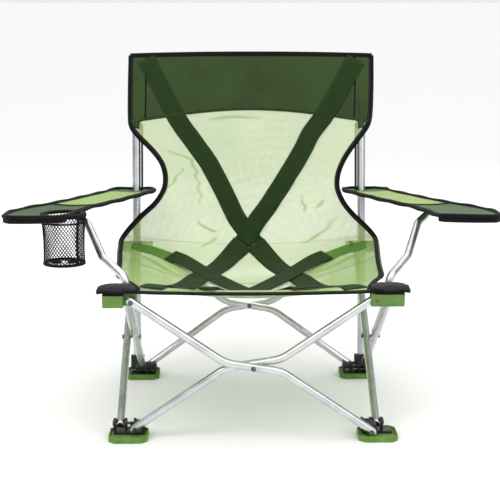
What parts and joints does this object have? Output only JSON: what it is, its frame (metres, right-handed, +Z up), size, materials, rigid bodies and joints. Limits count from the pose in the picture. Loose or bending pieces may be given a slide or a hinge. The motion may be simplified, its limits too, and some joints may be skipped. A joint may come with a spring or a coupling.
{
  "type": "folding camp chair",
  "caption": "Low folding camp chair: quad-fold scissor tube frame on rubber feet, mesh sling seat and back, wide fabric armrests and a hanging cup net.",
  "frame": {"origin": "on the floor under the middle of the chair's outline", "axes": "+X across the chair, towards the right seen from the front, -Y to the front, +Z up"},
  "size_m": [0.9678, 0.659, 0.7264],
  "materials": {
    "pad_rubber": "matt",
    "clevis_plastic": "matt",
    "hub_plastic": "satin",
    "tube_aluminium": "satin anodised",
    "rivet_steel": "blackened",
    "sling_mesh": "woven mesh",
    "armrest_mesh": "woven mesh",
    "net": "knotted net"
  },
  "bodies": {
    "rear_left_base": {"rear_left_pad": "pad_rubber", "rear_left_foot": "clevis_plastic", "rear_left_foot_shaft": "rivet_steel"},
    "rear_left_leg_frame": {"rear_left_leg": "tube_aluminium", "rear_left_leg_rivets": "rivet_steel", "left_leg_sleeve": "tube_aluminium", "left_arm_tube": "tube_aluminium", "left_arm_knuckle": "clevis_plastic"},
    "front_left_leg_frame": {"front_left_leg": "tube_aluminium", "front_left_leg_pin": "rivet_steel"},
    "front_left_base": {"front_left_pad": "pad_rubber", "front_left_foot": "clevis_plastic", "front_left_foot_shaft": "rivet_steel"},
    "front_left_swing": {"front_left_yoke": "clevis_plastic", "front_left_yoke_pin": "rivet_steel"},
    "front_inner_cross": {"front_cross_inner": "tube_aluminium", "front_cross_rivet": "rivet_steel"},
    "front_outer_cross": {"front_cross_outer": "tube_aluminium"},
    "front_right_swing": {"front_right_yoke": "clevis_plastic", "front_right_yoke_pin": "rivet_steel"},
    "front_left_corner": {"front_left_hub": "hub_plastic", "front_left_hub_pin": "rivet_steel"},
    "front_right_corner": {"front_right_hub": "hub_plastic", "front_right_hub_pin": "rivet_steel"},
    "left_post_frame": {"rear_left_post_socket": "clevis_plastic", "rear_left_socket_pin": "rivet_steel", "rear_left_post": "tube_aluminium", "rear_left_post_cap": "clevis_plastic", "back_panel": "sling_mesh"},
    "rear_outer_cross": {"rear_cross_outer": "tube_aluminium", "rear_cross_rivet": "rivet_steel"},
    "rear_inner_cross": {"rear_cross_inner": "tube_aluminium"},
    "right_post_frame": {"rear_right_post_socket": "clevis_plastic", "rear_right_socket_pin": "rivet_steel", "rear_right_post": "tube_aluminium", "rear_right_post_cap": "clevis_plastic"},
    "rear_left_corner": {"rear_left_hub": "hub_plastic", "rear_left_hub_pin": "rivet_steel"},
    "rear_right_corner": {"rear_right_hub": "hub_plastic", "rear_right_hub_pin": "rivet_steel"},
    "rear_right_base": {"rear_right_pad": "pad_rubber", "rear_right_foot": "clevis_plastic", "rear_right_foot_shaft": "rivet_steel"},
    "rear_right_leg_frame": {"rear_right_leg": "tube_aluminium", "rear_right_leg_rivets": "rivet_steel", "right_leg_sleeve": "tube_aluminium", "right_arm_tube": "tube_aluminium", "right_arm_knuckle": "clevis_plastic"},
    "front_right_leg_frame": {"front_right_leg": "tube_aluminium", "front_right_leg_pin": "rivet_steel"},
    "front_right_base": {"front_right_pad": "pad_rubber", "front_right_foot": "clevis_plastic", "front_right_foot_shaft": "rivet_steel"},
    "left_arm": {"left_armrest": "armrest_mesh", "cup_net": "net"},
    "right_arm": {"right_armrest": "armrest_mesh"},
    "seat_front_panel": {"seat_front": "sling_mesh"},
    "seat_rear_panel": {"seat_rear": "sling_mesh"}
  },
  "joints": [
    {"name": "fold", "type": "hinge", "parent": "rear_left_base", "child": "rear_left_leg_frame", "pos_m": [0, 0.18613, 0.026], "axis": [-1, 0, 0], "range_deg": [0, 49], "deforming": ["back_panel", "seat_front", "seat_rear", "left_armrest", "right_armrest", "cup_net"]},
    {"name": "left_side_pivot", "type": "hinge", "parent": "rear_left_leg_frame", "child": "front_left_leg_frame", "pos_m": [0, -0.02565, 0.14877], "axis": [1, 0, 0], "range_deg": [0, 98.01]},
    {"name": "front_left_foot_pivot", "type": "hinge", "parent": "front_left_leg_frame", "child": "front_left_base", "pos_m": [0, -0.23744, 0.026], "axis": [-1, 0, 0], "range_deg": [0, 49.01]},
    {"name": "front_left_yoke_swing", "type": "hinge", "parent": "front_left_leg_frame", "child": "front_left_swing", "pos_m": [0, -0.23744, 0.026], "axis": [-1, 0, 0], "range_deg": [0, 56.93]},
    {"name": "front_left_cross_end", "type": "hinge", "parent": "front_left_swing", "child": "front_inner_cross", "pos_m": [-0.23202, -0.25967, 0.02251], "axis": [0, -0.9879, -0.155], "range_deg": [0, 48.65]},
    {"name": "front_cross_pivot", "type": "hinge", "parent": "front_inner_cross", "child": "front_outer_cross", "pos_m": [0, -0.29727, 0.15499], "axis": [0, 0.9879, 0.155], "range_deg": [0, 97.29]},
    {"name": "front_right_cross_end", "type": "hinge", "parent": "front_outer_cross", "child": "front_right_swing", "pos_m": [0.23202, -0.27607, 0.01994], "axis": [0, -0.9879, -0.155], "range_deg": [0, 48.65]},
    {"name": "front_left_hub_pivot", "type": "hinge", "parent": "front_outer_cross", "child": "front_left_corner", "pos_m": [-0.23202, -0.31846, 0.29005], "axis": [0, -0.9879, -0.155], "range_deg": [0, 48.65]},
    {"name": "front_right_hub_pivot", "type": "hinge", "parent": "front_inner_cross", "child": "front_right_corner", "pos_m": [0.23202, -0.30206, 0.29263], "axis": [0, 0.9879, 0.155], "range_deg": [0, 48.65]},
    {"name": "rear_left_post_swing", "type": "hinge", "parent": "rear_left_base", "child": "left_post_frame", "pos_m": [0, 0.18613, 0.026], "axis": [1, 0, 0], "range_deg": [0, 7.93]},
    {"name": "rear_left_cross_end", "type": "hinge", "parent": "left_post_frame", "child": "rear_outer_cross", "pos_m": [-0.23202, 0.22476, 0.01994], "axis": [0, -0.9879, 0.155], "range_deg": [0, 48.65]},
    {"name": "rear_cross_pivot", "type": "hinge", "parent": "rear_outer_cross", "child": "rear_inner_cross", "pos_m": [0, 0.24596, 0.15499], "axis": [0, 0.9879, -0.155], "range_deg": [0, 97.29]},
    {"name": "rear_right_cross_end", "type": "hinge", "parent": "rear_inner_cross", "child": "right_post_frame", "pos_m": [0.23202, 0.20836, 0.02251], "axis": [0, -0.9879, 0.155], "range_deg": [0, 48.65]},
    {"name": "rear_left_hub_pivot", "type": "hinge", "parent": "rear_inner_cross", "child": "rear_left_corner", "pos_m": [-0.23202, 0.25076, 0.29263], "axis": [0, -0.9879, 0.155], "range_deg": [0, 48.65]},
    {"name": "rear_right_hub_pivot", "type": "hinge", "parent": "rear_outer_cross", "child": "rear_right_corner", "pos_m": [0.23202, 0.26715, 0.29005], "axis": [0, 0.9879, -0.155], "range_deg": [0, 48.65]},
    {"name": "rear_right_foot_swing", "type": "hinge", "parent": "right_post_frame", "child": "rear_right_base", "pos_m": [0, 0.18613, 0.026], "axis": [-1, 0, 0], "range_deg": [0, 7.93]},
    {"name": "rear_right_leg_pivot", "type": "hinge", "parent": "right_post_frame", "child": "rear_right_leg_frame", "pos_m": [0, 0.18613, 0.026], "axis": [-1, 0, 0], "range_deg": [0, 56.93]},
    {"name": "right_side_pivot", "type": "hinge", "parent": "rear_right_leg_frame", "child": "front_right_leg_frame", "pos_m": [0, -0.02565, 0.14877], "axis": [1, 0, 0], "range_deg": [0, 98.01]},
    {"name": "front_right_foot_pivot", "type": "hinge", "parent": "front_right_leg_frame", "child": "front_right_base", "pos_m": [0, -0.23744, 0.026], "axis": [-1, 0, 0], "range_deg": [0, 49.01]},
    {"name": "left_armrest_fold", "type": "hinge", "parent": "left_post_frame", "child": "left_arm", "pos_m": [-0.25802, 0.27399, 0.42201], "axis": [-1, 0, 0], "range_deg": [0, 147.01]},
    {"name": "right_armrest_fold", "type": "hinge", "parent": "right_post_frame", "child": "right_arm", "pos_m": [0.25802, 0.27399, 0.42201], "axis": [-1, 0, 0], "range_deg": [0, 147.01]},
    {"name": "seat_front_fold", "type": "hinge", "parent": "front_left_corner", "child": "seat_front_panel", "pos_m": [0, -0.27984, 0.30011], "axis": [-1, 0, 0], "range_deg": [0, 76.26]},
    {"name": "seat_rear_fold", "type": "hinge", "parent": "left_post_frame", "child": "seat_rear_panel", "pos_m": [0, 0.23953, 0.29311], "axis": [1, 0, 0], "range_deg": [0, 22.48]}
  ],
  "couplings": [
    {"joint": "left_side_pivot", "follows": "fold", "ratio": 2},
    {"joint": "front_left_foot_pivot", "follows": "fold", "ratio": 1},
    {"joint": "front_left_yoke_swing", "follows": "fold", "ratio": 1.1615},
    {"joint": "front_left_cross_end", "follows": "fold", "ratio": 0.99262},
    {"joint": "front_cross_pivot", "follows": "fold", "ratio": 1.9852},
    {"joint": "front_right_cross_end", "follows": "fold", "ratio": 0.99262},
    {"joint": "front_left_hub_pivot", "follows": "fold", "ratio": 0.99262},
    {"joint": "front_right_hub_pivot", "follows": "fold", "ratio": 0.99262},
    {"joint": "rear_left_post_swing", "follows": "fold", "ratio": 0.16155},
    {"joint": "rear_left_cross_end", "follows": "fold", "ratio": 0.99262},
    {"joint": "rear_cross_pivot", "follows": "fold", "ratio": 1.9852},
    {"joint": "rear_right_cross_end", "follows": "fold", "ratio": 0.99262},
    {"joint": "rear_left_hub_pivot", "follows": "fold", "ratio": 0.99262},
    {"joint": "rear_right_hub_pivot", "follows": "fold", "ratio": 0.99262},
    {"joint": "rear_right_foot_swing", "follows": "fold", "ratio": 0.16155},
    {"joint": "rear_right_leg_pivot", "follows": "fold", "ratio": 1.1615},
    {"joint": "right_side_pivot", "follows": "fold", "ratio": 2},
    {"joint": "front_right_foot_pivot", "follows": "fold", "ratio": 1},
    {"joint": "left_armrest_fold", "follows": "fold", "ratio": 3},
    {"joint": "right_armrest_fold", "follows": "fold", "ratio": 3},
    {"joint": "seat_front_fold", "follows": "fold", "ratio": 1.5562},
    {"joint": "seat_rear_fold", "follows": "fold", "ratio": 0.45856}
  ]
}
